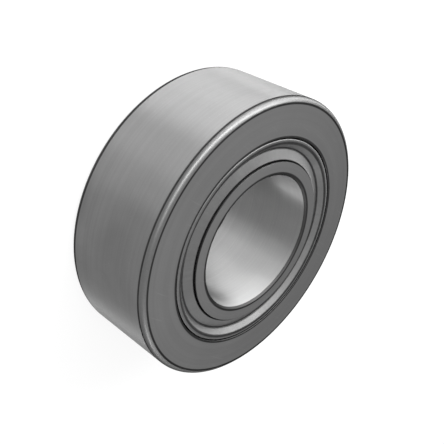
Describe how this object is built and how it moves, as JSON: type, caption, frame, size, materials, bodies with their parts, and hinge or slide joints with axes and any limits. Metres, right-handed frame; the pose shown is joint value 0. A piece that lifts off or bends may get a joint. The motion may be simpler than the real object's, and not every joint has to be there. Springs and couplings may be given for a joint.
{
  "type": "cylindrical roller bearing",
  "caption": "Shielded cylindrical roller bearing with a thick outer ring; an inner ring turns on caged rollers inside it.",
  "frame": {"origin": "centre of the lower side face, on the bearing's axis; the bearing lies on this face", "axes": "+Z along the bearing's axis, towards the side face that the picture shows; +X through the axis of roller_01"},
  "size_m": [0.052, 0.052, 0.018],
  "materials": {
    "ring_steel": "ground bearing steel",
    "shield_steel": "pressed sheet steel",
    "roller_steel": "superfinished bearing steel",
    "cage_polyamide": "moulded glass-filled polyamide"
  },
  "bodies": {
    "outer": {"outer_ring": "ring_steel", "front_shield": "shield_steel", "rear_shield": "shield_steel"},
    "inner": {"inner_ring": "ring_steel"},
    "cage": {"cage": "cage_polyamide"},
    "roller_01": {"roller_01": "roller_steel"},
    "roller_02": {"roller_02": "roller_steel"},
    "roller_03": {"roller_03": "roller_steel"},
    "roller_04": {"roller_04": "roller_steel"},
    "roller_05": {"roller_05": "roller_steel"},
    "roller_06": {"roller_06": "roller_steel"},
    "roller_07": {"roller_07": "roller_steel"},
    "roller_08": {"roller_08": "roller_steel"},
    "roller_09": {"roller_09": "roller_steel"},
    "roller_10": {"roller_10": "roller_steel"},
    "roller_11": {"roller_11": "roller_steel"},
    "roller_12": {"roller_12": "roller_steel"},
    "roller_13": {"roller_13": "roller_steel"},
    "roller_14": {"roller_14": "roller_steel"},
    "roller_15": {"roller_15": "roller_steel"},
    "roller_16": {"roller_16": "roller_steel"}
  },
  "joints": [
    {"name": "inner_spin", "type": "hinge", "parent": "outer", "child": "inner", "pos_m": [0, 0, 0.009], "axis": [0, 0, 1], "continuous": true},
    {"name": "cage_orbit", "type": "hinge", "parent": "outer", "child": "cage", "pos_m": [0, 0, 0.009], "axis": [0, 0, 1], "continuous": true},
    {"name": "roller_01_spin", "type": "hinge", "parent": "cage", "child": "roller_01", "pos_m": [0.01755, 0, 0.009], "axis": [0, 0, 1], "continuous": true},
    {"name": "roller_02_spin", "type": "hinge", "parent": "cage", "child": "roller_02", "pos_m": [0.01621, 0.00672, 0.009], "axis": [0, 0, 1], "continuous": true},
    {"name": "roller_03_spin", "type": "hinge", "parent": "cage", "child": "roller_03", "pos_m": [0.01241, 0.01241, 0.009], "axis": [0, 0, 1], "continuous": true},
    {"name": "roller_04_spin", "type": "hinge", "parent": "cage", "child": "roller_04", "pos_m": [0.00672, 0.01621, 0.009], "axis": [0, 0, 1], "continuous": true},
    {"name": "roller_05_spin", "type": "hinge", "parent": "cage", "child": "roller_05", "pos_m": [0, 0.01755, 0.009], "axis": [0, 0, 1], "continuous": true},
    {"name": "roller_06_spin", "type": "hinge", "parent": "cage", "child": "roller_06", "pos_m": [-0.00672, 0.01621, 0.009], "axis": [0, 0, 1], "continuous": true},
    {"name": "roller_07_spin", "type": "hinge", "parent": "cage", "child": "roller_07", "pos_m": [-0.01241, 0.01241, 0.009], "axis": [0, 0, 1], "continuous": true},
    {"name": "roller_08_spin", "type": "hinge", "parent": "cage", "child": "roller_08", "pos_m": [-0.01621, 0.00672, 0.009], "axis": [0, 0, 1], "continuous": true},
    {"name": "roller_09_spin", "type": "hinge", "parent": "cage", "child": "roller_09", "pos_m": [-0.01755, 0, 0.009], "axis": [0, 0, 1], "continuous": true},
    {"name": "roller_10_spin", "type": "hinge", "parent": "cage", "child": "roller_10", "pos_m": [-0.01621, -0.00672, 0.009], "axis": [0, 0, 1], "continuous": true},
    {"name": "roller_11_spin", "type": "hinge", "parent": "cage", "child": "roller_11", "pos_m": [-0.01241, -0.01241, 0.009], "axis": [0, 0, 1], "continuous": true},
    {"name": "roller_12_spin", "type": "hinge", "parent": "cage", "child": "roller_12", "pos_m": [-0.00672, -0.01621, 0.009], "axis": [0, 0, 1], "continuous": true},
    {"name": "roller_13_spin", "type": "hinge", "parent": "cage", "child": "roller_13", "pos_m": [0, -0.01755, 0.009], "axis": [0, 0, 1], "continuous": true},
    {"name": "roller_14_spin", "type": "hinge", "parent": "cage", "child": "roller_14", "pos_m": [0.00672, -0.01621, 0.009], "axis": [0, 0, 1], "continuous": true},
    {"name": "roller_15_spin", "type": "hinge", "parent": "cage", "child": "roller_15", "pos_m": [0.01241, -0.01241, 0.009], "axis": [0, 0, 1], "continuous": true},
    {"name": "roller_16_spin", "type": "hinge", "parent": "cage", "child": "roller_16", "pos_m": [0.01621, -0.00672, 0.009], "axis": [0, 0, 1], "continuous": true}
  ],
  "couplings": [
    {"joint": "cage_orbit", "follows": "inner_spin", "ratio": 0.42735},
    {"joint": "roller_01_spin", "follows": "inner_spin", "ratio": -3.4359},
    {"joint": "roller_02_spin", "follows": "inner_spin", "ratio": -3.4359},
    {"joint": "roller_03_spin", "follows": "inner_spin", "ratio": -3.4359},
    {"joint": "roller_04_spin", "follows": "inner_spin", "ratio": -3.4359},
    {"joint": "roller_05_spin", "follows": "inner_spin", "ratio": -3.4359},
    {"joint": "roller_06_spin", "follows": "inner_spin", "ratio": -3.4359},
    {"joint": "roller_07_spin", "follows": "inner_spin", "ratio": -3.4359},
    {"joint": "roller_08_spin", "follows": "inner_spin", "ratio": -3.4359},
    {"joint": "roller_09_spin", "follows": "inner_spin", "ratio": -3.4359},
    {"joint": "roller_10_spin", "follows": "inner_spin", "ratio": -3.4359},
    {"joint": "roller_11_spin", "follows": "inner_spin", "ratio": -3.4359},
    {"joint": "roller_12_spin", "follows": "inner_spin", "ratio": -3.4359},
    {"joint": "roller_13_spin", "follows": "inner_spin", "ratio": -3.4359},
    {"joint": "roller_14_spin", "follows": "inner_spin", "ratio": -3.4359},
    {"joint": "roller_15_spin", "follows": "inner_spin", "ratio": -3.4359},
    {"joint": "roller_16_spin", "follows": "inner_spin", "ratio": -3.4359}
  ]
}
